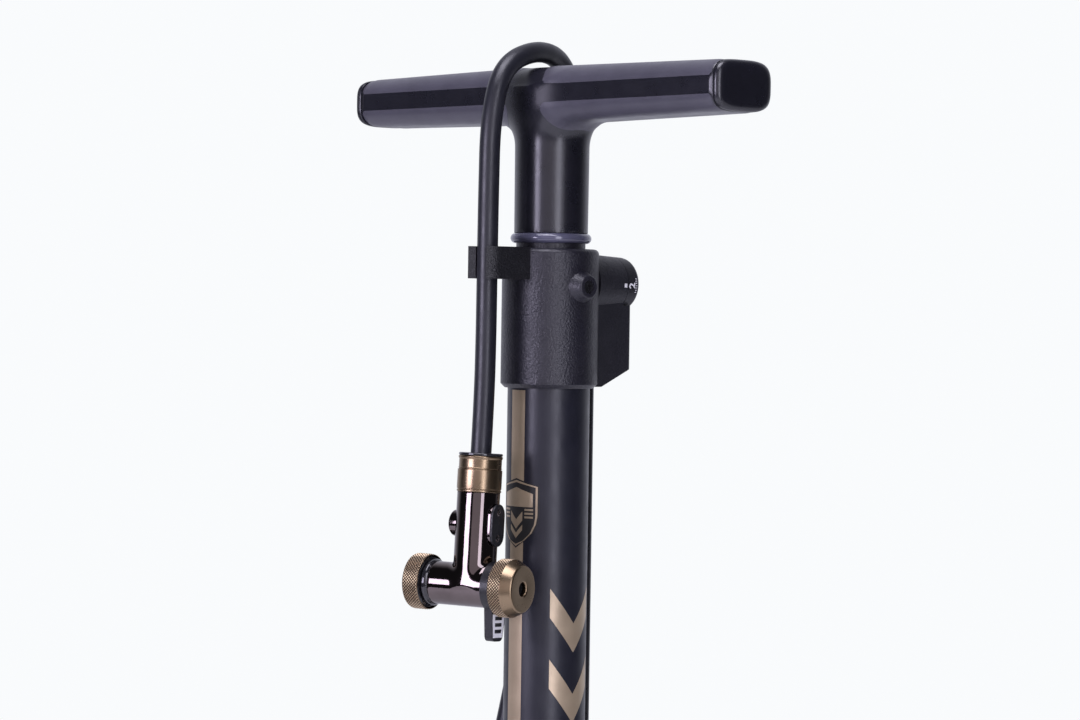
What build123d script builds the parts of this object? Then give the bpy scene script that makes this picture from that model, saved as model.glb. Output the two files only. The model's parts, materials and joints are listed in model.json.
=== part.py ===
from build123d import *
import math
import os

# Two-stage floor pump. Millimetres, +Z up. The origin is on the floor at the
# middle of the barrel. The handle lies along X, the gauge and the hose clip
# are at the front (-Y), and the stage selector is at the rear (+Y).

# ---------------------------------------------------------------- barrel
BARREL_R = 20.0
BARREL_BORE_R = 18.0
BARREL_FLOOR_Z = 24.0
BARREL_TOP_Z = 648.0
FIT = 0.05                      # radial clearance of every running fit

# ---------------------------------------------------------------- base
FOOT_H = 5.0
PLATE_T = 12.0
PLATE_TOP_Z = FOOT_H + PLATE_T
WING_X = 120.0                  # wing tips, left and right
WING_TIP_Y = 42.0
WING_WAIST_Y = 32.0
NOSE_Y = 80.0                   # nose and heel, front and rear
NOSE_TIP_X = 26.0
NOSE_WAIST_X = 36.0
HUB_R = 31.0
HUB_TOP_Z = 66.0
FOOT_R = 12.0
FOOT_SPOTS = [(-102, -26), (-102, 26), (102, -26), (102, 26), (0, -64), (0, 64)]
VALVE_POCKET_R = 7.0
VALVE_POCKET_Z = 10.0
GASKET_T = 2.0
PORT_R = 2.0                    # upright drilled air passages
CROSS_PORT_R = 1.6              # level ones, which meet the upright ones

# ---------------------------------------------------------------- cap
CAP_R = 23.5
CAP_BOTTOM_Z = 590.5
CAP_TOP_Z = 657.8
RING_SEAT_Z = 660.4             # the bumper ring rests here
RING_TUBE_R = 2.45
RING_MAJOR_R = 17.2
CAP_SCREW_Z = 639.5
CAP_BOSS_R = 8.7
CAP_BOSS_OUT = 27.8
SCREW_HEAD_R = 3.3
ROD_R = 8.0
GUIDE_BOTTOM_Z = 606.0

# ---------------------------------------------------------------- transfer tube
TRANSFER_Y = 24.6
TRANSFER_R = 4.0
TRANSFER_BOTTOM_Z = 50.0
TRANSFER_TOP_Z = 608.0

# ---------------------------------------------------------------- selector
SELECTOR_Z = 641.4
POD_ROOT_R = 14.7               # the pod narrows a little away from the cap
POD_TIP_R = 12.9
POD_SEAM_Y = 39.8
POD_FACE_Y = 49.0
KEEL_HALF_X = 10.0
KEEL_Y = 45.8
KEEL_BOTTOM_Z = 601.0
SPOOL_R = 5.0
SPOOL_TOP_Y = 45.0               # the spool ends inside the knob
SELECTOR_SCREW_SEAT_Y = 46.6

# ---------------------------------------------------------------- hose clip
HOSE_R = 5.0
CLIP_Y = -41.0
CLIP_R = 9.2
CLIP_BORE_R = 5.5
CLIP_BOTTOM_Z = 642.8
CLIP_TOP_Z = 658.2

# ---------------------------------------------------------------- handle
HANDLE_Z = 732.0
HANDLE_HALF = 130.0
END_CAP_T = 5.0
HANDLE_DEPTH = 35.4
HUB_HEIGHT = 26.4
END_HEIGHT = 22.9
STEM_R = 18.2
STEM_BOTTOM_Z = 665.4
ROD_TOP_Z = 728.0
PAD_T = 1.6
BAND_HALF = 4.0                 # half height of the bare band between the pads
PAD_START_X = 12.0
PAD_END_X = 123.0

# ---------------------------------------------------------------- piston
PISTON_BOTTOM_Z = 38.0
PISTON_TOP_Z = 60.0

# ---------------------------------------------------------------- gauge
GAUGE_TILT = 55.0               # the dial's normal, measured from straight up
GAUGE_BACK = (0, -41, 62)       # middle of the case's rear face
GAUGE_PORT_Y = -42.0
GAUGE_R = 31.0
GAUGE_DEPTH = 24.0
GAUGE_WALL = 2.0
DIAL_Z = 15.0
NEEDLE_START = 225.0            # degrees about the dial's normal, from its right-hand side

# ---------------------------------------------------------------- pump head
HEAD_TOP = (0, -43.2, 559.7)    # where the hose meets the collar
HEAD_TILT = -3.15               # the neck leans outwards at the bottom
HEAD_YAW = 17.0
COLLAR_R = 10.6
COLLAR_H = 18.6
NECK_R = 10.25
CROSS_DROP = 63.15              # from the collar's top to the cross tube's axis
COVER_DROP = 34.0
COVER_OUT = 10.6                # from the neck's axis to the side cover's back
COVER_SCREW_REACH = 6.2
KNOB_R = 13.95
KNOB_FACE_R = 11.0
LEVER_REACH = 25.6
CHUCK_HOLE_R = 3.2

# ---------------------------------------------------------------- hose
HOSE_PORT = (-52, 12)
HOSE_START_Z = 56.0
HOSE_CUT_Z = 704.0              # above this plane the hose rides with the handle

HOSE_ROUTE = [
    (-52, 12, 56), (-52, 12, 92), (-57, 9, 145), (-62.5, 2, 215), (-58.5, -2.5, 292),
    (-46, 2, 368), (-34, 9.2, 436), (-26, 19, 505), (-21.5, 28, 575), (-20, 32.3, 640),
    (-19.6, 33.4, 690), (-18.6, 32.6, 728), (-13.8, 19, 751), (-5.4, -6, 754.6),
    (-1.2, -31.8, 745), (0, -40.2, 720), (0.2, -41, 684), (0, -41, 645), (0.2, -41.3, 612),
    (0, -41.745, 585.1), (0, -43.2, 559.7),
]


# ---------------------------------------------------------------- helpers
def disc(radius, low, high, x=0.0, y=0.0):
    """An upright cylinder between two heights of its frame."""
    return Pos(x, y, (low + high) / 2) * Cylinder(radius, high - low)


def ring(outer, inner, low, high, x=0.0, y=0.0):
    """A hollow upright cylinder."""
    return disc(outer, low, high, x, y) - disc(inner, low, high, x, y)


def cone(low_radius, high_radius, low, high):
    """An upright frustum."""
    return Pos(0, 0, (low + high) / 2) * Cone(low_radius, high_radius, high - low)


def block(x_range, y_range, z_range):
    """A box between two corners."""
    middle = [(span[0] + span[1]) / 2 for span in (x_range, y_range, z_range)]
    sides = [span[1] - span[0] for span in (x_range, y_range, z_range)]
    return Pos(*middle) * Box(*sides)


def coil(radius, wire, low, high, turns):
    """A closed-coil spring standing between two heights."""
    height = high - low - 2 * wire
    path = Pos(0, 0, low + wire) * Helix(height / turns, height, radius)
    start = path @ 0
    section = Plane(origin=start, z_dir=path % 0) * Circle(wire)
    return sweep(section, path=path, is_frenet=True)


def rim_edges(shape, axis=Axis.Z, top=True):
    """The edges of a shape's highest or lowest face."""
    faces = shape.faces().sort_by(axis)
    return faces[-1].edges() if top else faces[0].edges()


def group(solids):
    """Several separate solids written as one node."""
    return Compound(children=list(solids))


# Frames of the sub-assemblies: local +Z runs along each one's own axis.
GAUGE = Pos(*GAUGE_BACK) * Rot(GAUGE_TILT, 0, 0)
SELECTOR = Pos(0, 0, SELECTOR_Z) * Rot(-90, 0, 0)
HEAD = Pos(*HEAD_TOP) * Rot(HEAD_TILT, 0, 0) * Rot(0, 0, HEAD_YAW)
CROSS = HEAD * Pos(0, 0, -CROSS_DROP) * Rot(0, 90, 0)
COVER = HEAD * Pos(0, 0, -COVER_DROP) * Rot(0, 90, 0)
parts = {}


# ---------------------------------------------------------------- base
def base_outline():
    wings = Polygon(
        (-WING_X, -WING_TIP_Y), (0, -WING_WAIST_Y), (WING_X, -WING_TIP_Y),
        (WING_X, WING_TIP_Y), (0, WING_WAIST_Y), (-WING_X, WING_TIP_Y), align=None)
    nose = Polygon(
        (-NOSE_TIP_X, -NOSE_Y), (NOSE_TIP_X, -NOSE_Y), (NOSE_WAIST_X, 0),
        (NOSE_TIP_X, NOSE_Y), (-NOSE_TIP_X, NOSE_Y), (-NOSE_WAIST_X, 0), align=None)
    outline = wings + nose
    return fillet(outline.vertices(), 14)


def base_casting():
    outline = base_outline()
    plate = Pos(0, 0, FOOT_H) * extrude(outline, PLATE_T)
    plate = fillet(rim_edges(plate), 3.5)
    hollow = Pos(0, 0, FOOT_H) * extrude(offset(outline, -5), PLATE_T - 4)
    hollow -= disc(HUB_R + 14, FOOT_H, PLATE_TOP_Z)
    for x, y in FOOT_SPOTS:
        hollow -= disc(FOOT_R + 0.5, FOOT_H, PLATE_TOP_Z, x, y)
    for side in (-1, 1):
        hollow -= block((side * 80 - 2, side * 80 + 2), (-60, 60), (FOOT_H, PLATE_TOP_Z))
    hollow -= disc(13, FOOT_H, PLATE_TOP_Z, *HOSE_PORT)
    hub = cone(HUB_R + 13, HUB_R, PLATE_TOP_Z - 1, 48) + disc(HUB_R, 40, HUB_TOP_Z)
    hub = fillet(rim_edges(hub), 2.5)
    pedestal = block((-15, 15), (-62, -18), (PLATE_TOP_Z - 1, 72))
    pedestal = fillet(pedestal.edges().filter_by(Axis.Z), 4)
    pedestal -= GAUGE * disc(GAUGE_R + 20, 0, 90)
    hose_boss = disc(11, PLATE_TOP_Z - 1, 34, *HOSE_PORT)
    hose_boss = fillet(rim_edges(hose_boss), 2)
    body = plate - hollow + hub + pedestal + hose_boss
    body -= disc(BARREL_R, BARREL_FLOOR_Z - GASKET_T, HUB_TOP_Z + 20)
    body -= disc(VALVE_POCKET_R, VALVE_POCKET_Z, BARREL_FLOOR_Z)
    body -= disc(TRANSFER_R, TRANSFER_BOTTOM_Z, HUB_TOP_Z, 0, TRANSFER_Y)
    body -= disc(PORT_R, 12, TRANSFER_BOTTOM_Z, 0, TRANSFER_Y)
    body -= disc(PORT_R, 12, 40, 0, GAUGE_PORT_Y)
    for x, y in ((0, TRANSFER_Y), (0, GAUGE_PORT_Y), HOSE_PORT):
        heading = math.degrees(math.atan2(y, x))
        level_port = Rot(0, 0, heading) * Rot(0, 90, 0) * disc(CROSS_PORT_R, 5, math.hypot(x, y))
        body -= Pos(0, 0, 14) * level_port
    body -= disc(5, 20, 34, *HOSE_PORT)
    body -= disc(PORT_R, 12, 22, *HOSE_PORT)
    body -= GAUGE * disc(5, -10, 1)
    for x, y in FOOT_SPOTS:
        body -= disc(1.6, FOOT_H, 13, x, y)
    return body


def tread_pad(side):
    pad = Pos(side * 92, 0, PLATE_TOP_Z) * extrude(RectangleRounded(42, 60, 9), 3)
    pad = fillet(rim_edges(pad), 1)
    for step in range(-2, 3):
        pad -= Pos(side * 92, step * 11, PLATE_TOP_Z + 3) * Box(34, 2.4, 2)
    return pad


def rubber_foot(x, y):
    foot = disc(FOOT_R, 0, FOOT_H, x, y)
    foot = chamfer(rim_edges(foot, top=False), 1)
    return foot - disc(3.2, 0, 3, x, y) - disc(1.6, 0, FOOT_H, x, y)


def foot_screw(x, y):
    return disc(3.1, 1, 3, x, y) + disc(1.6, 3, 12.5, x, y)


parts["base_casting"] = base_casting()
parts["tread_pads"] = group(tread_pad(side) for side in (-1, 1))
parts["rubber_feet"] = group(rubber_foot(x, y) for x, y in FOOT_SPOTS)
parts["foot_screws"] = group(foot_screw(x, y) for x, y in FOOT_SPOTS)

# Check valve under the barrel: a disc held up against its seat by a spring.
parts["barrel_gasket"] = ring(
    BARREL_R, VALVE_POCKET_R - 2.5, BARREL_FLOOR_Z - GASKET_T, BARREL_FLOOR_Z)
parts["check_valve_disc"] = disc(6, 19, 21.9) + disc(2, 15, 19)
parts["check_valve_spring"] = coil(4, 0.5, 10.1, 18.9, 4)


# ---------------------------------------------------------------- barrel
def barrel_tube():
    tube = ring(BARREL_R, BARREL_BORE_R, BARREL_FLOOR_Z, BARREL_TOP_Z)
    return tube - Pos(0, 0, CAP_SCREW_Z) * Rot(0, 90, 0) * Cylinder(2, 60)


def barrel_cap():
    body = disc(CAP_R, CAP_BOTTOM_Z, CAP_TOP_Z)
    body = fillet(rim_edges(body), 2.6)
    body = chamfer(rim_edges(body, top=False), 2)
    body += disc(16.8, CAP_TOP_Z - 1, RING_SEAT_Z)
    body += disc(RING_MAJOR_R - RING_TUBE_R - 0.3, CAP_TOP_Z - 1, 664)
    for side in (-1, 1):
        turn = Pos(0, 0, CAP_SCREW_Z) * Rot(0, side * 90, 0)
        dome = cone(CAP_BOSS_R, SCREW_HEAD_R + 2, 21, CAP_BOSS_OUT)
        dome = fillet(rim_edges(dome), 1)
        body += turn * dome
    body -= disc(BARREL_R, CAP_BOTTOM_Z, BARREL_TOP_Z)
    body -= disc(ROD_R + 0.6, BARREL_TOP_Z, 664)
    body -= disc(11, BARREL_TOP_Z, 653)
    for side in (-1, 1):
        turn = Pos(0, 0, CAP_SCREW_Z) * Rot(0, side * 90, 0)
        body -= turn * disc(SCREW_HEAD_R, 23, 29)
        body -= turn * disc(2, 19, 24)
    body -= disc(TRANSFER_R, CAP_BOTTOM_Z, TRANSFER_TOP_Z, 0, TRANSFER_Y)
    body -= Pos(0, 0, 616) * Rot(-90, 0, 0) * disc(PORT_R, 19, 25)
    return body


def cap_screw(side):
    screw = disc(SCREW_HEAD_R, 23, 26.6) + disc(2, 14.5, 23)
    screw -= Pos(0, 0, 25.6) * extrude(RegularPolygon(1.7, 6), 1.5)
    return Pos(0, 0, CAP_SCREW_Z) * Rot(0, side * 90, 0) * screw


def rod_guide():
    body = disc(BARREL_BORE_R, GUIDE_BOTTOM_Z, BARREL_TOP_Z)
    body -= disc(ROD_R + FIT, GUIDE_BOTTOM_Z, BARREL_TOP_Z)
    body -= disc(11, BARREL_TOP_Z - 6, BARREL_TOP_Z)
    for side in (-1, 1):
        body -= Pos(0, 0, CAP_SCREW_Z) * Rot(0, side * 90, 0) * disc(2, 13, 19)
    return body


parts["barrel_tube"] = barrel_tube()
parts["transfer_tube"] = ring(
    TRANSFER_R, TRANSFER_R - 1.2, TRANSFER_BOTTOM_Z, TRANSFER_TOP_Z, 0, TRANSFER_Y)
parts["barrel_cap"] = barrel_cap()
parts["cap_screws"] = group(cap_screw(side) for side in (-1, 1))
parts["rod_guide"] = rod_guide()
parts["rod_seals"] = group([
    ring(11, ROD_R + FIT, BARREL_TOP_Z - 6, BARREL_TOP_Z - 0.5),
    ring(11, ROD_R + FIT, BARREL_TOP_Z, 653)])
parts["bumper_ring"] = Pos(0, 0, RING_SEAT_Z + RING_TUBE_R) * Torus(RING_MAJOR_R, RING_TUBE_R)


def hose_clip():
    height = CLIP_TOP_Z - CLIP_BOTTOM_Z
    plan = Pos(0, CLIP_Y) * Circle(CLIP_R)
    plan += Pos(0, CLIP_Y / 2 - 9) * Rectangle(2 * CLIP_R, -CLIP_Y - 18)
    plan -= Circle(CAP_R)
    plan -= Pos(0, CLIP_Y) * Circle(CLIP_BORE_R)
    mouth = Polygon((0, 0), (-20, -20), (20, -20), align=None)
    plan -= Pos(0, CLIP_Y) * mouth
    clip = Pos(0, 0, CLIP_BOTTOM_Z) * extrude(plan, height)
    return max(clip.solids(), key=lambda solid: solid.volume)


parts["hose_clip"] = hose_clip()


# ---------------------------------------------------------------- selector
def selector_housing():
    pod = cone(POD_ROOT_R, POD_ROOT_R - 1.2, 20, POD_SEAM_Y)
    keel_height = SELECTOR_Z - CAP_BOTTOM_Z - 0.5
    keel = Pos(0, keel_height / 2, (20 + KEEL_Y) / 2) * Box(2 * KEEL_HALF_X, keel_height, KEEL_Y - 20)
    keel = fillet(keel.edges().filter_by(Axis.Y), 2.5)
    keel -= cone(POD_ROOT_R, POD_TIP_R + 0.7, POD_SEAM_Y - 0.01, POD_FACE_Y + 2)
    body = SELECTOR * (pod + keel)
    slope = Polygon((KEEL_Y + 2, KEEL_BOTTOM_Z), (18, CAP_BOTTOM_Z - 3),
                    (KEEL_Y + 2, CAP_BOTTOM_Z - 3), align=None)
    body -= extrude(Plane.YZ * slope, 30, both=True)
    body -= disc(CAP_R, CAP_BOTTOM_Z - 5, CAP_TOP_Z + 5)
    body -= SELECTOR * disc(SPOOL_R + FIT, 24.5, POD_SEAM_Y + 1)
    body -= disc(TRANSFER_R, CAP_BOTTOM_Z - 2, TRANSFER_TOP_Z, 0, TRANSFER_Y)
    body -= disc(PORT_R, TRANSFER_TOP_Z - 1, SELECTOR_Z - 3, 0, TRANSFER_Y + 2)
    body -= SELECTOR * disc(1.7, 27.5, POD_SEAM_Y, 9)
    return max(body.solids(), key=lambda solid: solid.volume)


def selector_knob():
    knob = cone(POD_ROOT_R - 1.25, POD_TIP_R, POD_SEAM_Y + 0.3, POD_FACE_Y)
    knob = fillet(rim_edges(knob), 3.5)
    knob -= disc(SPOOL_R - 1, POD_SEAM_Y, SPOOL_TOP_Y)
    knob -= disc(1.5, SPOOL_TOP_Y - 1, POD_FACE_Y)
    knob -= disc(3, SELECTOR_SCREW_SEAT_Y, POD_FACE_Y + 1)
    for angle in (0, 90):
        knob -= Rot(0, 0, angle) * Pos(9, 0, POD_SEAM_Y + 0.3) * Sphere(0.9)
    return SELECTOR * knob


def selector_spool():
    spool = disc(SPOOL_R, 24.6, POD_SEAM_Y + 0.3) + disc(SPOOL_R - 1, POD_SEAM_Y + 0.3, SPOOL_TOP_Y)
    spool -= ring(SPOOL_R + 1, SPOOL_R - 1.3, 30, 32)
    spool -= Pos(0, 0, 27) * Rot(90, 0, 0) * disc(1.2, -SPOOL_R - 1, 0)
    spool -= disc(1.5, 34, SPOOL_TOP_Y)
    return SELECTOR * spool


parts["selector_housing"] = selector_housing()
parts["selector_knob"] = selector_knob()
parts["selector_spool"] = selector_spool()
parts["selector_o_ring"] = SELECTOR * ring(SPOOL_R, SPOOL_R - 1.3, 30, 32)
parts["selector_screw"] = SELECTOR * (
    disc(3, SELECTOR_SCREW_SEAT_Y, SELECTOR_SCREW_SEAT_Y + 1.8) + disc(1.5, 34, SELECTOR_SCREW_SEAT_Y))
parts["detent_ball"] = SELECTOR * Pos(9, 0, POD_SEAM_Y - 1.55) * Sphere(1.5)
parts["detent_spring"] = SELECTOR * Pos(9, 0, 0) * coil(1.1, 0.25, 27.6, POD_SEAM_Y - 3.1, 5)


# ---------------------------------------------------------------- gauge
def gauge_case():
    case = disc(GAUGE_R, 0, GAUGE_DEPTH - 3)
    case = fillet(rim_edges(case, top=False), 3)
    case -= disc(GAUGE_R - GAUGE_WALL, 3, GAUGE_DEPTH)
    case -= disc(2.5, -1, 4)
    return GAUGE * case


def bourdon_tube():
    arc = CenterArc((0, 0), 20, -80, 250)
    path = Pos(0, 0, 8) * arc
    section = Plane(origin=path @ 0, z_dir=path % 0) * Ellipse(1.2, 3)
    return GAUGE * sweep(section, path=path)


def gauge_movement():
    plates = block((-9, 9), (-7, 7), (4, 5.5)) + block((-9, 9), (-7, 7), (11.5, 13))
    for x in (-7.5, 7.5):
        plates += disc(1.2, 4, 13, x, 5)
    plates += disc(5.5, 7, 8.2) + disc(2, 5, 11.6)
    plates -= disc(0.8, 3, 14)
    return GAUGE * plates


def gauge_dial():
    return GAUGE * (ring(GAUGE_R - GAUGE_WALL - 0.2, 1.2, DIAL_Z, DIAL_Z + 0.8))


def gauge_needle():
    needle = disc(2.4, DIAL_Z + 1.4, DIAL_Z + 2.6)
    needle += disc(0.75, 6, DIAL_Z + 1.4)
    reach = 22.0
    outline = Polygon((-5, -1.6), (-5, 1.6), (reach, 0.25), (reach, -0.25), align=None)
    blade = Pos(0, 0, DIAL_Z + 1.6) * extrude(outline, 0.7)
    return GAUGE * (needle + Rot(0, 0, NEEDLE_START) * blade)


parts["gauge_case"] = gauge_case()
parts["bourdon_tube"] = bourdon_tube()
parts["gauge_movement"] = gauge_movement()
parts["gauge_dial"] = gauge_dial()
parts["gauge_needle"] = gauge_needle()
parts["gauge_lens"] = GAUGE * disc(GAUGE_R - GAUGE_WALL, GAUGE_DEPTH - 4, GAUGE_DEPTH - 2.2)
parts["gauge_bezel"] = GAUGE * (
    ring(GAUGE_R + 1.6, GAUGE_R, 17, GAUGE_DEPTH - 1.5)
    + ring(GAUGE_R + 1.6, GAUGE_R - 4, GAUGE_DEPTH - 2.2, GAUGE_DEPTH))
parts["gauge_stem"] = GAUGE * (
    ring(5, 1.5, -10, 0) + ring(2.5, 1.5, 0, 4) + ring(4.5, 1.5, 3, 4) - disc(0.5, 3, 5, 20))


# ---------------------------------------------------------------- hose port
def hose_fitting():
    x, y = HOSE_PORT
    body = disc(5, 20, 34, x, y) + disc(3.4, 34, 46, x, y) + disc(4.4, 43.6, 46, x, y)
    body += Pos(x, y, 34) * extrude(RegularPolygon(7, 6), 3)
    return body - disc(1.6, 20, 46, x, y)


def hose_ferrule():
    x, y = HOSE_PORT
    shell = disc(6.6, 37.5, HOSE_START_Z, x, y)
    shell = fillet(rim_edges(shell), 1)
    shell -= disc(3.4 + FIT, 37, 43.3, x, y)
    shell -= disc(4.4 + 0.1, 43.3, 46.3, x, y)
    return shell - disc(1.6, 46, HOSE_START_Z, x, y)


parts["hose_fitting"] = hose_fitting()
parts["hose_ferrule"] = hose_ferrule()


# ---------------------------------------------------------------- hose
def hose_radii(route):
    """Bend radius at each inner corner: 0.45 of the shorter run over tan(half turn)."""
    radii = []
    for before, here, after in zip(route, route[1:], route[2:]):
        first = Vector(*here) - Vector(*before)
        second = Vector(*after) - Vector(*here)
        half_turn = math.radians(first.get_angle(second) / 2)
        radii.append(0.45 * min(first.length, second.length) / math.tan(half_turn))
    return radii


hose_bends = hose_radii(HOSE_ROUTE)
hose_path = FilletPolyline(*HOSE_ROUTE, radius=hose_bends)
hose_section = Plane(origin=hose_path @ 0, z_dir=hose_path % 0) * Circle(HOSE_R)
hose = sweep(hose_section, path=hose_path)
print("hose length", round(hose_path.length, 1), "radii", [round(r) for r in hose_bends])
print("hose volume", round(hose.volume), "section x length",
      round(math.pi * HOSE_R ** 2 * hose_path.length))

REACH = 300.0
upper_half = block((-REACH, REACH), (-REACH, REACH), (HOSE_CUT_Z, HOSE_CUT_Z + REACH))
front_half = block((-REACH, REACH), (-REACH, -30), (0, HOSE_CUT_Z))
rear_half = block((-REACH, REACH), (-10, REACH), (0, HOSE_CUT_Z))
parts["hose_over_handle"] = hose & upper_half
parts["hose_front_run"] = hose & front_half
parts["hose_rear_run"] = hose & rear_half


# ---------------------------------------------------------------- rod and piston
def piston_rod():
    rod = ring(ROD_R, ROD_R - 2, PISTON_TOP_Z, ROD_TOP_Z)
    rod += disc(ROD_R - 2, PISTON_TOP_Z, PISTON_TOP_Z + 20)
    return rod + disc(5, 29, PISTON_TOP_Z)


def piston_head():
    body = ring(17.5, 5, PISTON_BOTTOM_Z, PISTON_TOP_Z)
    for low in (42, 52):
        body -= ring(18, 14.5, low, low + 4)
    return body


parts["piston_rod"] = piston_rod()
parts["piston_head"] = piston_head()
parts["piston_seals"] = group(
    ring(BARREL_BORE_R - FIT, 14.5, low, low + 4) for low in (42, 52))
parts["piston_nut"] = (
    Pos(0, 0, 31) * extrude(RegularPolygon(9, 6), 7) - disc(5, 30, PISTON_BOTTOM_Z))


# ---------------------------------------------------------------- handle
def handle_section(x, height, inset=0.0):
    profile = RectangleRounded(HANDLE_DEPTH - 2 * inset, height - 2 * inset, 9.5 - inset)
    return Plane(origin=(x, 0, HANDLE_Z), x_dir=(0, 1, 0), z_dir=(1, 0, 0)) * profile


def handle_bar(inset=0.0):
    """The tapered bar, from hub to both ends, without the end caps."""
    end_x = HANDLE_HALF - END_CAP_T
    bar = loft([handle_section(0, HUB_HEIGHT, inset), handle_section(end_x, END_HEIGHT, inset)])
    return bar + mirror(bar, Plane.YZ)


def grip_zone(side, level):
    """Where one grip pad lies: left or right, above or below the bare band."""
    x_range = sorted((side * PAD_START_X, side * PAD_END_X))
    z_range = sorted((HANDLE_Z + level * BAND_HALF, HANDLE_Z + level * 30))
    return block(x_range, (-30, 30), z_range)


bar_outer = handle_bar()
bar_inner = handle_bar(PAD_T)
grip_shell = bar_outer - bar_inner
grip_sides = {"upper_left": (-1, 1), "upper_right": (1, 1), "lower_left": (-1, -1), "lower_right": (1, -1)}
grip_pads = {name: grip_shell & grip_zone(*spot) for name, spot in grip_sides.items()}


def handle_core():
    stem = cone(STEM_R - 0.3, STEM_R, STEM_BOTTOM_Z, HANDLE_Z - 2)
    stem = fillet(rim_edges(stem, top=False), 1.2)
    body = bar_outer + stem
    for zone in grip_sides.values():
        body -= grip_shell & grip_zone(*zone)
    body -= disc(ROD_R + FIT, STEM_BOTTOM_Z - 1, ROD_TOP_Z + 1)
    body -= disc(3, ROD_TOP_Z, 741)
    return body - disc(6, 738, 746)


def end_cap(side):
    end_x = HANDLE_HALF - END_CAP_T
    cap = extrude(handle_section(end_x, END_HEIGHT), END_CAP_T)
    cap = fillet(rim_edges(cap, Axis.X), 1.8)
    return cap if side > 0 else mirror(cap, Plane.YZ)


def handle_screw():
    head = disc(5.6, 738, 742)
    head -= Pos(0, 0, 740) * extrude(RegularPolygon(2.8, 6), 3)
    return head + disc(3, 715, 738)


parts["handle_core"] = handle_core()
for level in ("upper", "lower"):
    parts["grip_pads_" + level] = group(grip_pads[level + end] for end in ("_left", "_right"))
parts["end_caps"] = group(end_cap(side) for side in (-1, 1))
parts["handle_screw"] = handle_screw()
parts["handle_plug"] = disc(6, 742.6, HANDLE_Z + HUB_HEIGHT / 2 - 0.2)


# ---------------------------------------------------------------- pump head
def head_collar():
    collar = disc(COLLAR_R, -COLLAR_H, -0.02)
    collar = fillet(rim_edges(collar), 0.8)
    for depth in (2.2, 7.4):
        collar -= ring(COLLAR_R + 1, COLLAR_R - 0.5, -depth - 0.5, -depth)
    return HEAD * (collar - disc(PORT_R, -COLLAR_H, 0))


def cover_outline(half_width, half_height):
    """An upright oval in the cover's frame, whose X axis points down the neck."""
    return SlotOverall(2 * half_height, 2 * half_width)


def head_body():
    neck = HEAD * disc(NECK_R, -CROSS_DROP, -COLLAR_H)
    cross = CROSS * disc(NECK_R, -20, 10.2)
    spigot = CROSS * disc(8, 10, 18)
    cover_seat = COVER * (Pos(0, 0, 5) * extrude(cover_outline(4.9, 9.4), COVER_OUT - 5))
    button_seat = COVER * disc(6.2, -12.2, -5)
    body = neck + cross + spigot + cover_seat + button_seat
    body -= HEAD * disc(PORT_R, -CROSS_DROP, -COLLAR_H)
    body -= CROSS * disc(3.3, -2, 18)
    body -= CROSS * disc(4 + FIT, -20, -1)
    body -= COVER * disc(4.5 + FIT, -12.3, -7)
    body -= COVER * disc(2.6, -7.1, -3.4)
    for offset_down in (-COVER_SCREW_REACH, COVER_SCREW_REACH):
        body -= COVER * disc(0.9, 7, COVER_OUT, offset_down)
    return body


def side_cover():
    plate = Pos(0, 0, COVER_OUT) * extrude(cover_outline(5.6, 10.2), 1.4)
    plate = chamfer(rim_edges(plate), 0.4)
    for offset_down in (-COVER_SCREW_REACH, COVER_SCREW_REACH):
        plate -= disc(1.7, COVER_OUT + 0.8, COVER_OUT + 1.5, offset_down)
        plate -= disc(0.9, COVER_OUT - 0.1, COVER_OUT + 0.9, offset_down)
    return COVER * plate


def cover_screw(offset_down):
    head_low = COVER_OUT + 0.8
    screw = disc(1.7, head_low, head_low + 0.9, offset_down) + disc(0.9, 7, head_low, offset_down)
    return COVER * (screw - Pos(offset_down, 0, head_low + 0.8) * Box(2.4, 0.5, 0.5))


def release_button():
    button = disc(4.5, -11.9, -8.7)
    button += Pos(0, 0, -11.9) * Rot(180, 0, 0) * cone(4.5, 3, 0, 1.5)
    return COVER * button


def thumb_lever():
    """A disc about the spigot with a tapered tail hanging from it."""
    lever = disc(12, 10.5, 14.7)
    tail = Polygon((7.5, -6.9), (LEVER_REACH, -4.6), (LEVER_REACH, 4.6), (7.5, 6.9), align=None)
    blade = Pos(0, 0, 10.5) * extrude(tail, 4.2)
    tip_edges = blade.edges().filter_by(Axis.Z).sort_by(Axis.X)[-2:]
    lever += fillet(tip_edges, 3)
    lever -= disc(8 + FIT, 10, 15)
    for reach in (14.6, 17.7, 20.8):
        lever -= Pos(reach, 0, 14.7) * Box(1.8, 6, 1)
    return CROSS * lever


def chuck_knob():
    knob = disc(KNOB_R, 15.2, 21.8) + cone(KNOB_R, KNOB_FACE_R, 21.8, 27.5)
    knob = chamfer(rim_edges(knob, top=False), 0.6)
    knob -= disc(8 + FIT, 15, 18.2)
    knob -= disc(8.2, 18.2, 25)
    knob -= disc(CHUCK_HOLE_R, 25, 28)
    return CROSS * knob


def tool_knob():
    knob = disc(13.5, -33.1, -23.7)
    knob = chamfer(rim_edges(knob, top=False), 1)
    knob -= disc(12.6 + FIT, -26.9, -23)
    knob -= disc(4, -34, -26)
    knob -= Pos(0, 0, -30) * Rot(90, 0, -70) * disc(1.3, 4, 14)
    return CROSS * knob


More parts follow.
